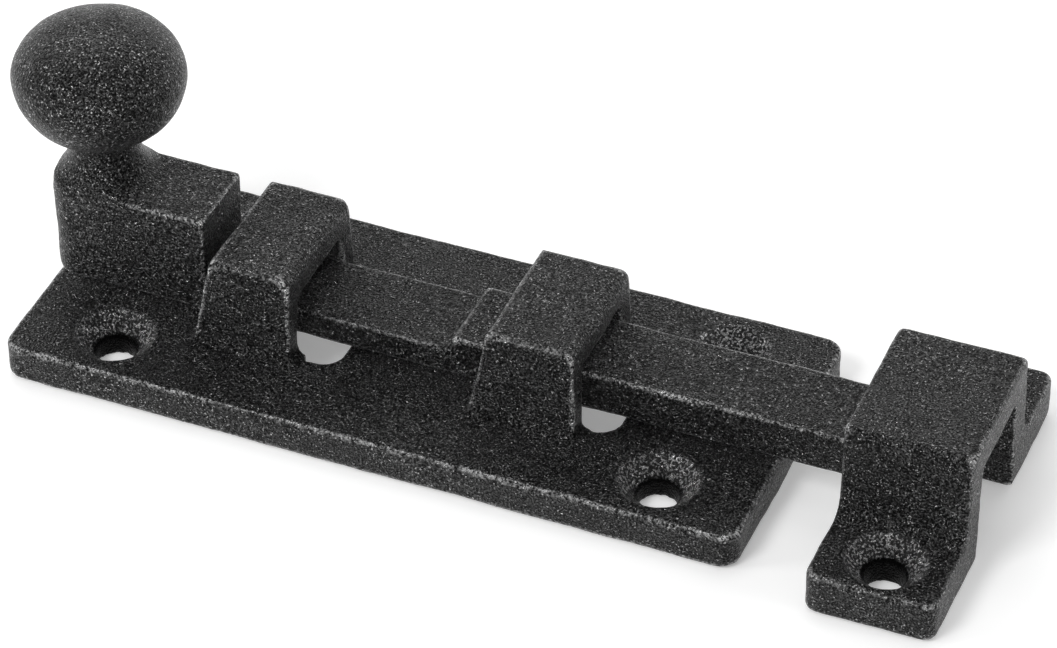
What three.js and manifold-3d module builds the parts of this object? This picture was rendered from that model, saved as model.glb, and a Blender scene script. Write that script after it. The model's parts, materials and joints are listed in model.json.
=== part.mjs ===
// Cast-iron knob bolt: a backplate with two bridges, a sliding bolt with its knob, and a keeper.
// Millimetres. +X is the way the bolt is thrown, +Z points out of the door, z = 0 is the mounting face.
import * as THREE from 'three';
import { mergeVertices } from 'three/addons/utils/BufferGeometryUtils.js';
import Module from 'manifold-3d';

// Small lengths that keep cuts, joins and welds clean
const OVER = 2;
const FUSE = 0.02;
const WELD = 1e-4;

// Backplate
const PLATE_LENGTH = 102;
const PLATE_WIDTH = 42;
const PLATE_THICKNESS = 5.2;
const PLATE_CORNER = 2.6;
const CAST_EDGE = 0.5;

// Countersunk screw holes, 90 degree heads
const HOLE_RADIUS = 2.6;
const SINK_RADIUS = 5.35;
const HOLE_X = 38;
const HOLE_Y = 13.45;
const HOLE_SEGMENTS = 32;

// Bridges over the bolt, cast in one with the plate: upright on the right, drafted on the left
const BRIDGES = [
  { left: -25.8, right: -14.5, ceiling: 13.5, window: { left: -28.9, right: -8.6, halfWidth: 8.8 } },
  { left: 12.8, right: 25, ceiling: 14.1, window: { left: 9.7, right: 29.7, halfWidth: 8 } },
];
const BRIDGE_TOP = 18;
const BRIDGE_HALF_WIDTH = 9.8;
const BRIDGE_LEFT_DRAFT = 2;
const BRIDGE_RIGHT_DRAFT = 0.2;
const BRIDGE_SIDE_DRAFT = 0.6;
const BRIDGE_FILLET = 1.2;
const BRIDGE_ROUND = 1;
const BRIDGE_LEFT_ROUND = 0.7;
const BRIDGE_RIGHT_ROUND = 1.7;
const TUNNEL_HALF_WIDTH = 6.6;
const TUNNEL_SPREAD = 1.6;
const TUNNEL_ROUND = 1;
const WINDOW_CORNER = 3;

// Bar of the bolt, thin under the first bridge and thick from there on
const BOLT_BOTTOM = 6.6;
const BOLT_HALF_WIDTH = 5.9;
const THIN_HEIGHT = 4;
const THICK_HEIGHT = 5.9;
const STEP_X = 6.6;
const BOLT_END_X = 71.5;
const BOLT_NOSE = 1.2;
const BOLT_EDGE = 0.4;

// Block and knob of the bolt
const BLOCK_LEFT = -51;
const BLOCK_RIGHT = -28.2;
const BLOCK_TOP = 20.9;
const BLOCK_CORNER = 3.4;
const BLOCK_END_ROUND = 2.4;
const KNOB_X = -44.8;
const KNOB_CENTRE_Z = 36.3;
const KNOB_RADIUS = 11.4;
const KNOB_UPPER = 7.7;
const KNOB_LOWER = 9.4;
const KNOB_LOWER_END = 1.05;
const NECK_RADIUS = 4.7;
const NECK_START_Z = 13;
const FLARE_RADIUS = 5;
const FLARE_SINK = 0.6;
const FLARE_DEPTH = 4;
const FLARE_INSET = 0.1;
const KNOB_SEGMENTS = 56;
const NECK_BLEND = 1;

// Keeper
const KEEPER_X = 69.6;
const KEEPER_HALF_LENGTH = 8.5;
const KEEPER_HALF_WIDTH = 24.2;
const KEEPER_TOP = 19;
const KEEPER_TOP_HALF_WIDTH = 10.9;
const KEEPER_FOOT = 6;
const KEEPER_FILLET = 2.4;
const KEEPER_CORNER = 1.6;
const KEEPER_ROUND = 1.1;
const KEEPER_DRAFT = 0.8;
const KEEPER_SPREAD = 0.7;
const KEEPER_CEILING = 14.4;
const KEEPER_HOLE_Y = 17.9;

const wasm = await Module();
wasm.setup();

// Turns a section drawn in the YZ plane, or in the XZ plane, so that its extrusion runs along X or Y.
const SECTION_YZ = new THREE.Matrix4().makeBasis(
  new THREE.Vector3(0, 1, 0), new THREE.Vector3(0, 0, 1), new THREE.Vector3(1, 0, 0));
const SECTION_XZ = new THREE.Matrix4().makeBasis(
  new THREE.Vector3(1, 0, 0), new THREE.Vector3(0, 0, 1), new THREE.Vector3(0, -1, 0));

// ---- Closed geometry to solids and back ----

function signedVolume(position, index) {
  const a = new THREE.Vector3();
  const b = new THREE.Vector3();
  const c = new THREE.Vector3();
  let sum = 0;
  for (let i = 0; i < index.length; i += 3) {
    a.fromBufferAttribute(position, index[i]);
    b.fromBufferAttribute(position, index[i + 1]);
    c.fromBufferAttribute(position, index[i + 2]);
    sum += a.dot(b.cross(c));
  }
  return sum / 6;
}

function toSolid(geometry) {
  const bare = geometry.clone();
  bare.deleteAttribute('normal');
  bare.deleteAttribute('uv');
  const merged = mergeVertices(bare, WELD);
  const position = merged.getAttribute('position');
  const all = merged.getIndex().array;
  const index = [];
  for (let i = 0; i < all.length; i += 3) {
    const [a, b, c] = [all[i], all[i + 1], all[i + 2]];
    if (a !== b && b !== c && c !== a) {
      index.push(a, b, c);
    }
  }
  if (signedVolume(position, index) < 0) {
    index.reverse();
  }
  const mesh = new wasm.Mesh({
    numProp: 3,
    vertProperties: new Float32Array(position.array),
    triVerts: new Uint32Array(index),
  });
  return new wasm.Manifold(mesh);
}

function toGeometry(solid) {
  const mesh = solid.getMesh();
  const geometry = new THREE.BufferGeometry();
  geometry.setAttribute('position', new THREE.BufferAttribute(new Float32Array(mesh.vertProperties), 3));
  geometry.setIndex(Array.from(mesh.triVerts));
  geometry.computeVertexNormals();
  return geometry;
}

// ---- Shapes ----

function roundedRectangle(x0, x1, halfWidth, corner) {
  const shape = new THREE.Shape();
  shape.absarc(x1 - corner, halfWidth - corner, corner, 0, Math.PI / 2, false);
  shape.absarc(x0 + corner, halfWidth - corner, corner, Math.PI / 2, Math.PI, false);
  shape.absarc(x0 + corner, corner - halfWidth, corner, Math.PI, 1.5 * Math.PI, false);
  shape.absarc(x1 - corner, corner - halfWidth, corner, 1.5 * Math.PI, 2 * Math.PI, false);
  return shape;
}

// A body that stands on a floor: filleted foot, drafted sides and rounded top edges.
// Each side gives its place at the top, its place at the floor and the radius of its top edge.
function pedestal(left, right, bottom, floor, top, fillet) {
  const leftLean = Math.atan2(left.top - left.foot, top - floor);
  const rightLean = Math.atan2(right.foot - right.top, top - floor);
  const shape = new THREE.Shape();
  shape.moveTo(right.foot + fillet, bottom);
  shape.lineTo(right.foot + fillet, floor);
  shape.absarc(right.foot + fillet, floor + fillet, fillet, 1.5 * Math.PI, Math.PI + rightLean, true);
  shape.absarc(right.top - right.round, top - right.round, right.round, rightLean, Math.PI / 2, false);
  shape.absarc(left.top + left.round, top - left.round, left.round, Math.PI / 2, Math.PI - leftLean, false);
  shape.absarc(left.foot - fillet, floor + fillet, fillet, -leftLean, -Math.PI / 2, true);
  shape.lineTo(left.foot - fillet, bottom);
  return shape;
}

function evenPedestal(half, draft, round, bottom, floor, top, fillet) {
  const left = { top: -half, foot: -half - draft, round };
  const right = { top: half, foot: half + draft, round };
  return pedestal(left, right, bottom, floor, top, fillet);
}

// The hole that the bolt runs through: wider towards the back, as its core leaves the mould that way.
function tunnelShape(ceiling, spread) {
  const shape = new THREE.Shape();
  const wide = TUNNEL_HALF_WIDTH + spread;
  const centreZ = ceiling - TUNNEL_ROUND;
  shape.moveTo(wide, -OVER);
  shape.lineTo(wide, 0);
  shape.absarc(TUNNEL_HALF_WIDTH - TUNNEL_ROUND, centreZ, TUNNEL_ROUND, 0, Math.PI / 2, false);
  shape.absarc(TUNNEL_ROUND - TUNNEL_HALF_WIDTH, centreZ, TUNNEL_ROUND, Math.PI / 2, Math.PI, false);
  shape.lineTo(-wide, 0);
  shape.lineTo(-wide, -OVER);
  return shape;
}

function extrude(shape, depth, edge = 0, curveSegments = 4) {
  const geometry = new THREE.ExtrudeGeometry(shape, {
    depth: depth - 2 * edge,
    bevelEnabled: edge > 0,
    bevelThickness: edge,
    bevelSize: edge,
    bevelOffset: -edge,
    bevelSegments: 2,
    curveSegments,
  });
  return geometry.translate(0, 0, edge);
}

function alongX(shape, x0, x1, edge = 0) {
  return toSolid(extrude(shape, x1 - x0, edge).applyMatrix4(SECTION_YZ).translate(x0, 0, 0));
}

function alongY(shape, halfDepth, edge = 0) {
  return toSolid(extrude(shape, 2 * halfDepth, edge).applyMatrix4(SECTION_XZ).translate(0, halfDepth, 0));
}

function alongZ(shape, z0, z1, edge = 0) {
  return toSolid(extrude(shape, z1 - z0, edge).translate(0, 0, z0));
}

function turned(profile, x, y, segments) {
  const points = profile.map(([radius, z]) => new THREE.Vector2(radius, z));
  const geometry = new THREE.LatheGeometry(points, segments);
  return toSolid(geometry.rotateX(Math.PI / 2).translate(x, y, 0));
}

function countersunkHole(x, y, faceZ) {
  const sinkDepth = SINK_RADIUS - HOLE_RADIUS;
  const profile = [
    [0, -OVER], [HOLE_RADIUS, -OVER], [HOLE_RADIUS, faceZ - sinkDepth],
    [SINK_RADIUS, faceZ], [SINK_RADIUS, faceZ + OVER], [0, faceZ + OVER],
  ];
  return turned(profile, x, y, HOLE_SEGMENTS);
}

// ---- Pieces ----

function bridge({ left, right, ceiling }) {
  const heights = [CAST_EDGE, PLATE_THICKNESS, BRIDGE_TOP, BRIDGE_FILLET];
  const leftSide = { top: left, foot: left - BRIDGE_LEFT_DRAFT, round: BRIDGE_LEFT_ROUND };
  const rightSide = { top: right, foot: right + BRIDGE_RIGHT_DRAFT, round: BRIDGE_RIGHT_ROUND };
  const side = pedestal(leftSide, rightSide, ...heights);
  const end = evenPedestal(BRIDGE_HALF_WIDTH, BRIDGE_SIDE_DRAFT, BRIDGE_ROUND, ...heights);
  const start = leftSide.foot - BRIDGE_FILLET - OVER;
  const stop = rightSide.foot + BRIDGE_FILLET + OVER;
  const body = alongX(end, start, stop).intersect(alongY(side, PLATE_WIDTH / 2));
  return body.subtract(alongX(tunnelShape(ceiling, TUNNEL_SPREAD), start, stop));
}

function backplate() {
  const half = PLATE_LENGTH / 2;
  const outline = roundedRectangle(-half, half, PLATE_WIDTH / 2, PLATE_CORNER);
  let solid = alongZ(outline, 0, PLATE_THICKNESS, CAST_EDGE);
  for (const { window } of BRIDGES) {
    const hole = roundedRectangle(window.left, window.right, window.halfWidth, WINDOW_CORNER);
    solid = solid.subtract(alongZ(hole, -OVER, PLATE_THICKNESS + OVER));
  }
  for (const place of BRIDGES) {
    solid = solid.add(bridge(place));
  }
  for (const x of [-HOLE_X, HOLE_X]) {
    for (const y of [-HOLE_Y, HOLE_Y]) {
      solid = solid.subtract(countersunkHole(x, y, PLATE_THICKNESS));
    }
  }
  return solid;
}

// Side view of the bolt without its knob: the block, the thin bar, the step up and the thick bar.
function boltSide() {
  const thinTop = BOLT_BOTTOM + THIN_HEIGHT;
  const thickTop = BOLT_BOTTOM + THICK_HEIGHT;
  const round = BLOCK_END_ROUND;
  const nose = BOLT_NOSE;
  const shape = new THREE.Shape();
  shape.moveTo(BLOCK_RIGHT, thinTop);
  shape.lineTo(BLOCK_RIGHT, BLOCK_TOP);
  shape.absarc(BLOCK_LEFT + round, BLOCK_TOP - round, round, Math.PI / 2, Math.PI, false);
  shape.absarc(BLOCK_LEFT + round, BOLT_BOTTOM + round, round, Math.PI, 1.5 * Math.PI, false);
  shape.absarc(BOLT_END_X - nose, BOLT_BOTTOM + nose, nose, 1.5 * Math.PI, 2 * Math.PI, false);
  shape.absarc(BOLT_END_X - nose, thickTop - nose, nose, 0, Math.PI / 2, false);
  shape.lineTo(STEP_X + BOLT_EDGE, thickTop);
  shape.lineTo(STEP_X, thickTop - BOLT_EDGE);
  shape.lineTo(STEP_X, thinTop);
  return shape;
}

// Flattened ball on a waisted neck, turned about the knob's own axis.
function knobProfile() {
  const profile = [[0, NECK_START_Z], [NECK_RADIUS, NECK_START_Z]];
  const ballFoot = new THREE.Vector2(
    KNOB_RADIUS * Math.cos(KNOB_LOWER_END), KNOB_CENTRE_Z - KNOB_LOWER * Math.sin(KNOB_LOWER_END));
  const neckTop = BLOCK_TOP + FLARE_RADIUS - FLARE_SINK;
  const neckFoot = new THREE.Vector2(NECK_RADIUS, neckTop);
  const neckBend = new THREE.Vector2(NECK_RADIUS, ballFoot.y - NECK_BLEND);
  const neck = new THREE.QuadraticBezierCurve(neckFoot, neckBend, ballFoot);
  const neckSteps = 6;
  for (const point of neck.getPoints(neckSteps)) {
    profile.push([point.x, point.y]);
  }
  const lowerSteps = 9;
  for (let i = lowerSteps - 1; i >= 0; i -= 1) {
    const angle = (i / lowerSteps) * KNOB_LOWER_END;
    profile.push([KNOB_RADIUS * Math.cos(angle), KNOB_CENTRE_Z - KNOB_LOWER * Math.sin(angle)]);
  }
  const upperSteps = 11;
  for (let i = 1; i < upperSteps; i += 1) {
    const angle = (i / upperSteps) * Math.PI / 2;
    profile.push([KNOB_RADIUS * Math.cos(angle), KNOB_CENTRE_Z + KNOB_UPPER * Math.sin(angle)]);
  }
  profile.push([0, KNOB_CENTRE_Z + KNOB_UPPER]);
  return profile;
}

function flareProfile() {
  const start = BLOCK_TOP - FLARE_DEPTH;
  const profile = [[0, start], [NECK_RADIUS + FLARE_RADIUS, start]];
  const steps = 6;
  for (let i = 0; i <= steps; i += 1) {
    const angle = (i / steps) * Math.PI / 2;
    profile.push([
      NECK_RADIUS + FLARE_RADIUS * (1 - Math.sin(angle)),
      BLOCK_TOP + FLARE_RADIUS * (1 - Math.cos(angle)) - FLARE_SINK,
    ]);
  }
  profile.push([0, BLOCK_TOP + FLARE_RADIUS - FLARE_SINK]);
  return profile;
}

// Plan of the bolt: round at the knob's end, and drawn past the nose so that it cuts nothing there.
function boltPlan(halfWidth, left) {
  const corner = BLOCK_CORNER;
  const right = BOLT_END_X + OVER;
  const shape = new THREE.Shape();
  shape.moveTo(right, -halfWidth);
  shape.lineTo(right, halfWidth);
  shape.absarc(left + corner, halfWidth - corner, corner, Math.PI / 2, Math.PI, false);
  shape.absarc(left + corner, corner - halfWidth, corner, Math.PI, 1.5 * Math.PI, false);
  return shape;
}

function knobBolt() {
  const above = BLOCK_TOP + FLARE_RADIUS;
  const plan = alongZ(boltPlan(BOLT_HALF_WIDTH + FUSE, BLOCK_LEFT - FUSE), BOLT_BOTTOM - OVER, above);
  const shaft = alongZ(boltPlan(BOLT_HALF_WIDTH - FLARE_INSET, BLOCK_LEFT + FLARE_INSET), BOLT_BOTTOM, above);
  const body = alongY(boltSide(), BOLT_HALF_WIDTH, BOLT_EDGE).intersect(plan);
  const flare = turned(flareProfile(), KNOB_X, 0, KNOB_SEGMENTS).intersect(shaft);
  const knob = turned(knobProfile(), KNOB_X, 0, KNOB_SEGMENTS);
  return body.add(flare).add(knob);
}

function keeper() {
  const heights = [0, KEEPER_FOOT, KEEPER_TOP, KEEPER_FILLET];
  const end = evenPedestal(KEEPER_TOP_HALF_WIDTH, KEEPER_DRAFT, KEEPER_ROUND, ...heights);
  const plan = roundedRectangle(-KEEPER_HALF_LENGTH, KEEPER_HALF_LENGTH, KEEPER_HALF_WIDTH, KEEPER_CORNER);
  const arch = alongX(end, -KEEPER_HALF_LENGTH + FUSE, KEEPER_HALF_LENGTH - FUSE, CAST_EDGE);
  const feet = alongZ(plan, 0, KEEPER_FOOT, CAST_EDGE);
  const reach = KEEPER_HALF_LENGTH + OVER;
  const tunnel = alongX(tunnelShape(KEEPER_CEILING, KEEPER_SPREAD), -reach, reach);
  let solid = arch.add(feet).subtract(tunnel);
  for (const y of [-KEEPER_HOLE_Y, KEEPER_HOLE_Y]) {
    solid = solid.subtract(countersunkHole(0, y, KEEPER_FOOT));
  }
  return solid.translate([KEEPER_X, 0, 0]);
}

// ---- Assembly ----

const CAST_BLACK = { color: 0x2b2b2c, roughness: 0.62, metalness: 0.35 };

const pieces = { backplate, knob_bolt: knobBolt, keeper };

const group = new THREE.Group();
for (const [name, make] of Object.entries(pieces)) {
  const mesh = new THREE.Mesh(toGeometry(make()), new THREE.MeshStandardMaterial(CAST_BLACK));
  mesh.name = name;
  group.add(mesh);
}

export default group;
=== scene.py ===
"""Looks of a cast-iron knob bolt: sand-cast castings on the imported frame, a pale floor and soft light."""

import json
import math

import bpy
import numpy as np
from mathutils import Euler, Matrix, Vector, noise


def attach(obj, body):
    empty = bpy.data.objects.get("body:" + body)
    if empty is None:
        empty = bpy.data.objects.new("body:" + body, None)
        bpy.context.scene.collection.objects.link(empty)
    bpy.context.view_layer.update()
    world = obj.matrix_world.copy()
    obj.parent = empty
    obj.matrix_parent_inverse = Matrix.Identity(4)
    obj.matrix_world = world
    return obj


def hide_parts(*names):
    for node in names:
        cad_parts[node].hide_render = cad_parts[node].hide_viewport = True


MM = 0.001

# Camera: long lens, looking down from the front right
CAMERA_AZIMUTH = math.radians(22.61)
CAMERA_ELEVATION = math.radians(39.30)
CAMERA_ROLL = math.radians(-0.37)
CAMERA_DISTANCE = 605.7 * MM
CAMERA_LENS = 157.7
CAMERA_TARGET = Vector((11.1, 9.0, 5.0)) * MM
CAMERA_CLIP_START = 0.01

# Castings, by CAD node: the body and the number of smoothing passes, and in millimetres the voxel size,
# how uneven the surface is, the height of the face that the screw holes open on, and the holes' centres
CASTINGS = {
    "backplate": {
        "body": "fixed_castings", "voxel": 0.34, "passes": 4, "uneven": 0.16,
        "face": 5.2, "holes": [(-38, -13.45), (-38, 13.45), (38, -13.45), (38, 13.45)],
    },
    "keeper": {
        "body": "fixed_castings", "voxel": 0.30, "passes": 5, "uneven": 0.13,
        "face": 6.0, "holes": [(69.6, -17.9), (69.6, 17.9)],
    },
    "knob_bolt": {
        "body": "bolt", "voxel": 0.30, "passes": 4, "uneven": 0.13,
        "face": 0.0, "holes": [],
    },
}

# How near points are welded, and how far each smoothing pass moves a point towards its neighbours
WELD_DISTANCE = 0.002 * MM
SMOOTH_FACTOR = 0.5

# Lengths of the surface's bumps, the ripples' and pits' heights as a share of the waves' height, and how
# far the pattern shifts from one casting to the next
WAVE_LENGTH = 9.0 * MM
RIPPLE_LENGTH = 2.6 * MM
RIPPLE_SHARE = 0.5
PIT_LENGTH = 0.95 * MM
PIT_SHARE = 0.12
CASTING_SHIFT = Vector((17.3, 5.1, 9.7))

# Smoothing passes of the copy that edges are measured against
STAND_OUT_PASSES = 14

# Screw holes, in millimetres: radii of the cone's two ends, and how far their marks take to fade
CONE_INNER = 2.6
CONE_OUTER = 5.35
CONE_FADE = 0.3

# Noises in the finish, with the scale in features per metre
GRIT = {"Scale": 3800.0, "Detail": 1.5, "Roughness": 0.55}
SPECK = {"Scale": 2900.0, "Detail": 1.0, "Roughness": 0.5}
LUMP = {"Scale": 1600.0, "Detail": 2.0, "Roughness": 0.5}
STAIN = {"Scale": 130.0, "Detail": 4.0, "Roughness": 0.6}
GRIT_RELIEF = 0.65 * MM
LUMP_RELIEF = 0.35 * MM

# Grey levels of the finish, some of them painted light: the glints, the edges' highlight and the shade in
# the screw holes' bores
PIT_AND_BORE_SHADE_LEVEL = 0.004
SKIN_LEVEL = 0.085
BARE_AND_HIGHLIGHT_LEVEL = 0.55
GAP_LEVEL = SKIN_LEVEL * 0.08
STAIN_LEVELS = (SKIN_LEVEL * 0.8, SKIN_LEVEL * 1.2)
CONE_LEVEL = SKIN_LEVEL * 0.6
GLINT_LEVEL = BARE_AND_HIGHLIGHT_LEVEL * 0.8

# Noise values between which each layer goes from none to full
STAIN_SPAN = (0.35, 0.65)
SKIN_SPAN = (0.42, 0.62)
PIT_SPAN = (0.44, 0.28)
CONE_GLINT_SPAN = (0.50, 0.62)
GLINT_GRIT_SPAN = (0.57, 0.65)
GLINT_SPECK_SPAN = (0.53, 0.60)
RUB_AND_HIGHLIGHT_SPECK_SPAN = (0.38, 0.54)
RUB_AND_HIGHLIGHT_LUMP_SPAN = (0.32, 0.50)
ROUGHNESS_SPECK_SPAN = (0.35, 0.68)
# Stand-out in millimetres between which an edge goes from unworn to fully bright: partly paint scuffed
# through to bare metal, partly a painted highlight
WEAR_AND_HIGHLIGHT_SPAN = (0.045, 0.12)

ROUGHNESS_LEVELS = (0.42, 0.25)
METALLIC = 0.9
IOR = 1.45
SPECULAR = 0.2

# Stage
WORLD_STRENGTH = 0.24
FLOOR_HALF = 3.0
FLOOR_DROP = 0.15 * MM
FLOOR_NOISE = {"Scale": 3.0, "Detail": 2.0, "Roughness": 0.5}
FLOOR_LEVELS = (0.86, 0.90)
FLOOR_ROUGHNESS = 0.9
FLOOR_GLOW = 0.28

# Softboxes: place and size in metres, power in watts, all aimed at one point
SOFTBOX_AIM = Vector((0, 0, 0))
SOFTBOXES = {
    "back": {"position": (-0.27, 1.0, 0.47), "size": (1.6, 0.5), "power": 7.5},
    "overhead": {"position": (-0.1, 0.1, 0.9), "size": (0.8, 0.6), "power": 2.2},
    "left": {"position": (-0.75, -0.42, 0.14), "size": (0.25, 0.4), "power": 5.0},
    "right": {"position": (0.85, 0.0, 0.12), "size": (0.25, 0.5), "power": 3.0},
    "front": {"position": (-0.25, -0.6, 0.75), "size": (0.3, 0.3), "power": 3.4},
}

# Sockets of the Mix node that carry its share and two colours in, and the colour out
MIX_COLOUR_INPUTS = (0, 6, 7)
MIX_COLOUR_OUTPUT = 2


# ---- Castings ----


def node_piece(name, node):
    """A copy of a CAD node's mesh in a new object, welded so that it is one closed skin."""
    mesh = frame["nodes"][node].data.copy()
    mesh.materials.clear()
    piece = bpy.data.objects.new(name, mesh)
    bpy.context.scene.collection.objects.link(piece)
    weld = piece.modifiers.new("weld", "WELD")
    weld.merge_threshold = WELD_DISTANCE
    return piece


def evaluated_mesh(piece):
    depsgraph = bpy.context.evaluated_depsgraph_get()
    return bpy.data.meshes.new_from_object(piece.evaluated_get(depsgraph))


def vertex_values(mesh, key):
    """Each vertex's place ("co") or direction ("normal"), one row each."""
    values = np.empty(len(mesh.vertices) * 3, np.float32)
    mesh.vertices.foreach_get(key, values)
    return values.reshape(-1, 3)


def store(mesh, name, values):
    """Keeps one number per vertex as a named attribute that the material reads."""
    attribute = mesh.attributes.new(name, "FLOAT", "POINT")
    attribute.data.foreach_set("value", values.astype(np.float32))


def add_smoothing(piece, passes):
    smooth = piece.modifiers.new("smooth", "SMOOTH")
    smooth.factor = SMOOTH_FACTOR
    smooth.iterations = passes


def rounded(piece, voxel, passes):
    """Remeshes to an even skin and smooths it, which rounds every edge and fillet as a casting's are."""
    remesh = piece.modifiers.new("remesh", "REMESH")
    remesh.mode = "VOXEL"
    remesh.voxel_size = voxel * MM
    add_smoothing(piece, passes)
    final = evaluated_mesh(piece)
    piece.modifiers.clear()
    piece.data = final


def sand_cast(piece, uneven, seed):
    """Moves the skin along its normals: slow waves, short ripples and shallow pits."""
    mesh = piece.data
    places = vertex_values(mesh, "co")
    normals = vertex_values(mesh, "normal")
    offset = CASTING_SHIFT * seed
    heights = np.empty(len(places), np.float32)
    for i, place in enumerate(places):
        at = Vector(place)
        wave = noise.noise(at / WAVE_LENGTH + offset)
        ripple = noise.noise(at / RIPPLE_LENGTH + offset)
        pit = noise.noise(at / PIT_LENGTH + offset)
        heights[i] = wave + RIPPLE_SHARE * ripple + PIT_SHARE * pit
    places += normals * (heights * uneven * MM)[:, None]
    mesh.vertices.foreach_set("co", places.ravel())
    mesh.update()
    mesh.shade_smooth()


def measure_stand_out(piece):
    """Stores how far each point stands out from its surroundings, in millimetres: high along edges."""
    mesh = piece.data
    add_smoothing(piece, STAND_OUT_PASSES)
    smoother = evaluated_mesh(piece)
    piece.modifiers.clear()
    gap = vertex_values(mesh, "co") - vertex_values(smoother, "co")
    store(mesh, "wear_and_highlight", np.sum(gap * vertex_values(mesh, "normal"), axis=1) / MM)
    bpy.data.meshes.remove(smoother)


def mark_holes(piece, face, holes):
    """Stores where the skin is a screw hole's cone ("countersink"), which gets painted glints, and its
    straight part ("bore"), which gets painted shade.
    """
    places = vertex_values(piece.data, "co") / MM
    cone = np.zeros(len(places), np.float32)
    bore = np.zeros(len(places), np.float32)
    below = np.clip((face - places[:, 2]) / CONE_FADE, 0, 1)
    for x, y in holes:
        radius = np.hypot(places[:, 0] - x, places[:, 1] - y)
        outer = np.clip((CONE_OUTER + CONE_FADE - radius) / CONE_FADE, 0, 1)
        inner = np.clip((radius - CONE_INNER) / CONE_FADE, 0, 1)
        cone = np.maximum(cone, outer * inner * below)
        bore = np.maximum(bore, np.clip((CONE_INNER + 2 * CONE_FADE - radius) / CONE_FADE, 0, 1))
    store(piece.data, "countersink", cone)
    store(piece.data, "bore", bore)


# ---- Materials ----


def grey(level):
    return (level, level, level, 1.0)


class Nodes:
    """A short way to add shader nodes and link them."""

    def __init__(self, material):
        material.use_nodes = True
        self.tree = material.node_tree
        self.tree.nodes.clear()

    def add(self, kind, **inputs):
        node = self.tree.nodes.new(kind)
        for key, value in inputs.items():
            self.feed(node, key, value)
        return node

    def feed(self, node, key, value):
        """Links a socket into an input, or sets the input to a plain value."""
        if isinstance(value, bpy.types.NodeSocket):
            self.tree.links.new(value, node.inputs[key])
        else:
            node.inputs[key].default_value = value

    def place(self):
        return self.add("ShaderNodeTexCoord").outputs["Object"]

    def attribute(self, name):
        node = self.add("ShaderNodeAttribute")
        node.attribute_name = name
        return node.outputs["Fac"]

    def noise(self, place, settings):
        return self.add("ShaderNodeTexNoise", Vector=place, **settings).outputs["Fac"]

    def product(self, a, b):
        node = self.add("ShaderNodeMath")
        node.operation = "MULTIPLY"
        self.feed(node, 0, a)
        self.feed(node, 1, b)
        return node.outputs[0]

    def spread(self, value, span, levels=(0.0, 1.0)):
        """Stretches the values between the span's two ends over the levels."""
        node = self.add("ShaderNodeMapRange", Value=value)
        node.inputs["From Min"].default_value, node.inputs["From Max"].default_value = span
        node.inputs["To Min"].default_value, node.inputs["To Max"].default_value = levels
        return node.outputs["Result"]

    def mix(self, share, a, b):
        node = self.add("ShaderNodeMix")
        node.data_type = "RGBA"
        for index, value in zip(MIX_COLOUR_INPUTS, (share, a, b)):
            self.feed(node, index, value)
        return node.outputs[MIX_COLOUR_OUTPUT]

    def bump(self, height, distance, **inputs):
        node = self.add("ShaderNodeBump", Height=height, Strength=1.0, Distance=distance, **inputs)
        return node.outputs[0]

    def surface(self, **inputs):
        """The Principled shader with these inputs, joined to the material's output."""
        shader = self.add("ShaderNodeBsdfPrincipled")
        for key, value in inputs.items():
            self.feed(shader, key.replace("_", " "), value)
        output = self.add("ShaderNodeOutputMaterial")
        self.feed(output, "Surface", shader.outputs[0])


def cast_iron(name):
    """Black antique finish on sand-cast iron: gritty and mottled, with edges partly scuffed bare and partly
    given a painted highlight, painted glints, and painted shade in the screw holes' bores.
    """
    material = bpy.data.materials.new(name)
    n = Nodes(material)
    place = n.place()
    grit = n.noise(place, GRIT)
    speck = n.noise(place, SPECK)
    lump = n.noise(place, LUMP)
    stain = n.noise(place, STAIN)

    stained = n.mix(n.spread(stain, STAIN_SPAN), *map(grey, STAIN_LEVELS))
    skin = n.mix(n.spread(grit, SKIN_SPAN), grey(GAP_LEVEL), stained)
    pitted = n.mix(n.spread(lump, PIT_SPAN), skin, grey(PIT_AND_BORE_SHADE_LEVEL))

    # Painted glints: bright specks in the screw holes' cones stand in for light glittering off the machined
    # cones
    cone_glints = n.mix(n.spread(speck, CONE_GLINT_SPAN), grey(CONE_LEVEL), grey(BARE_AND_HIGHLIGHT_LEVEL))
    with_cone_glints = n.mix(n.attribute("countersink"), pitted, cone_glints)
    # Painted glints: rare bright specks in the colour stand in for light catching the grain
    glint = n.product(n.spread(grit, GLINT_GRIT_SPAN), n.spread(speck, GLINT_SPECK_SPAN))
    glinting = n.mix(glint, with_cone_glints, grey(GLINT_LEVEL))

    # Edges: partly real paint scuffed through to bare metal, partly a painted highlight that stands in for
    # light along the rounded edges
    ridge = n.spread(n.attribute("wear_and_highlight"), WEAR_AND_HIGHLIGHT_SPAN)
    rubbed_and_highlit = n.product(ridge, n.spread(speck, RUB_AND_HIGHLIGHT_SPECK_SPAN))
    worn_and_highlit = n.product(rubbed_and_highlit, n.spread(lump, RUB_AND_HIGHLIGHT_LUMP_SPAN))
    edges_worn_and_highlit = n.mix(worn_and_highlit, glinting, grey(BARE_AND_HIGHLIGHT_LEVEL))
    # Painted shade: the straight part of each screw hole is painted near black, standing in for the shade
    # deep in the hole
    colour = n.mix(n.attribute("bore"), edges_worn_and_highlit, grey(PIT_AND_BORE_SHADE_LEVEL))

    n.surface(
        Base_Color=colour,
        Roughness=n.spread(speck, ROUGHNESS_SPECK_SPAN, ROUGHNESS_LEVELS),
        Metallic=METALLIC,
        IOR=IOR,
        Specular_IOR_Level=SPECULAR,
        Normal=n.bump(grit, GRIT_RELIEF, Normal=n.bump(lump, LUMP_RELIEF)),
    )
    return material


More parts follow.
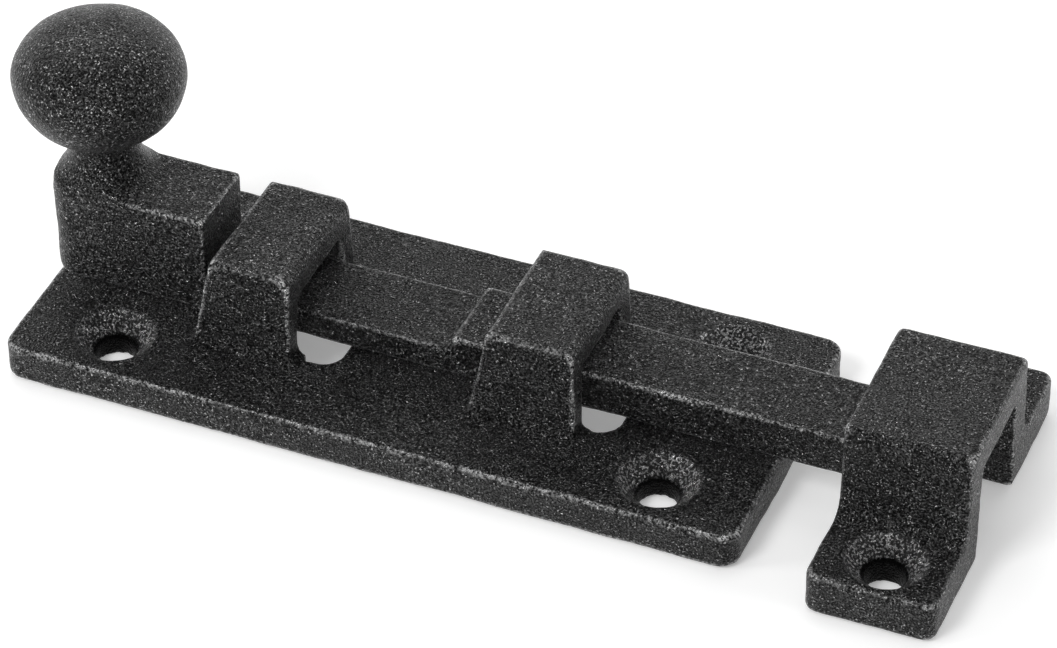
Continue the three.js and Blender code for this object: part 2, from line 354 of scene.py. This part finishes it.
def pale_floor(name):
    material = bpy.data.materials.new(name)
    n = Nodes(material)
    n.surface(
        Base_Color=n.mix(n.noise(n.place(), FLOOR_NOISE), *map(grey, FLOOR_LEVELS)),
        Roughness=FLOOR_ROUGHNESS,
        Emission_Color=grey(1.0),
        Emission_Strength=FLOOR_GLOW,
    )
    return material


# ---- Stage ----


def add_floor():
    half = FLOOR_HALF
    mesh = bpy.data.meshes.new("floor")
    corners = [(-half, -half, 0), (half, -half, 0), (half, half, 0), (-half, half, 0)]
    mesh.from_pydata(corners, [], [(0, 1, 2, 3)])
    mesh.materials.append(pale_floor("pale_floor"))
    floor = bpy.data.objects.new("floor", mesh)
    floor.location = (0, 0, -FLOOR_DROP)
    bpy.context.scene.collection.objects.link(floor)


def add_softbox(name, position, size, power):
    light = bpy.data.lights.new(name, "AREA")
    light.shape = "RECTANGLE"
    light.size, light.size_y = size
    light.energy = power
    lamp = bpy.data.objects.new(name, light)
    lamp.location = position
    lamp.rotation_euler = (SOFTBOX_AIM - Vector(position)).to_track_quat("-Z", "Y").to_euler()
    bpy.context.scene.collection.objects.link(lamp)


def add_lights():
    world = bpy.data.worlds.new("studio")
    world.use_nodes = True
    background = world.node_tree.nodes["Background"]
    background.inputs["Color"].default_value = grey(1.0)
    background.inputs["Strength"].default_value = WORLD_STRENGTH
    bpy.context.scene.world = world
    for name, box in SOFTBOXES.items():
        add_softbox(name, box["position"], box["size"], box["power"])


def add_camera():
    back = Vector((
        math.sin(CAMERA_AZIMUTH) * math.cos(CAMERA_ELEVATION),
        -math.cos(CAMERA_AZIMUTH) * math.cos(CAMERA_ELEVATION),
        math.sin(CAMERA_ELEVATION),
    ))
    camera_data = bpy.data.cameras.new("camera")
    camera_data.lens = CAMERA_LENS
    camera_data.clip_start = CAMERA_CLIP_START
    camera = bpy.data.objects.new("camera", camera_data)
    camera.location = CAMERA_TARGET + back * CAMERA_DISTANCE
    turn = back.to_track_quat("Z", "Y") @ Euler((0, 0, CAMERA_ROLL)).to_quaternion()
    camera.rotation_euler = turn.to_euler()
    bpy.context.scene.collection.objects.link(camera)
    bpy.context.scene.camera = camera


# ---- Assembly ----

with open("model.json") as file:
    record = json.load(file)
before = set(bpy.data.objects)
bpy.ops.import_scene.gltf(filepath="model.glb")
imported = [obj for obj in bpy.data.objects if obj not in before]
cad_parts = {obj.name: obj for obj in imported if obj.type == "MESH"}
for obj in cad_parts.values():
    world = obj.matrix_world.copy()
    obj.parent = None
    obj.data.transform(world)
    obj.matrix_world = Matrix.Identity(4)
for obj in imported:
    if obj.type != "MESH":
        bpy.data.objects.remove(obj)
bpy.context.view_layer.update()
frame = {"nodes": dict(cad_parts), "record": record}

finishes = {"cast_black": cast_iron("black_cast_iron")}
slot_of = {part["node"]: part["material_slot"] for part in frame["record"]["subparts"]}

for seed, (node, how) in enumerate(CASTINGS.items(), start=1):
    piece = node_piece("iron_" + node, node)
    rounded(piece, how["voxel"], how["passes"])
    sand_cast(piece, how["uneven"], seed)
    measure_stand_out(piece)
    mark_holes(piece, how["face"], how["holes"])
    piece.data.materials.append(finishes[slot_of[node]])
    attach(piece, how["body"])
    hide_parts(node)

add_floor()
add_lights()
add_camera()
bpy.context.scene.view_settings.view_transform = "Standard"
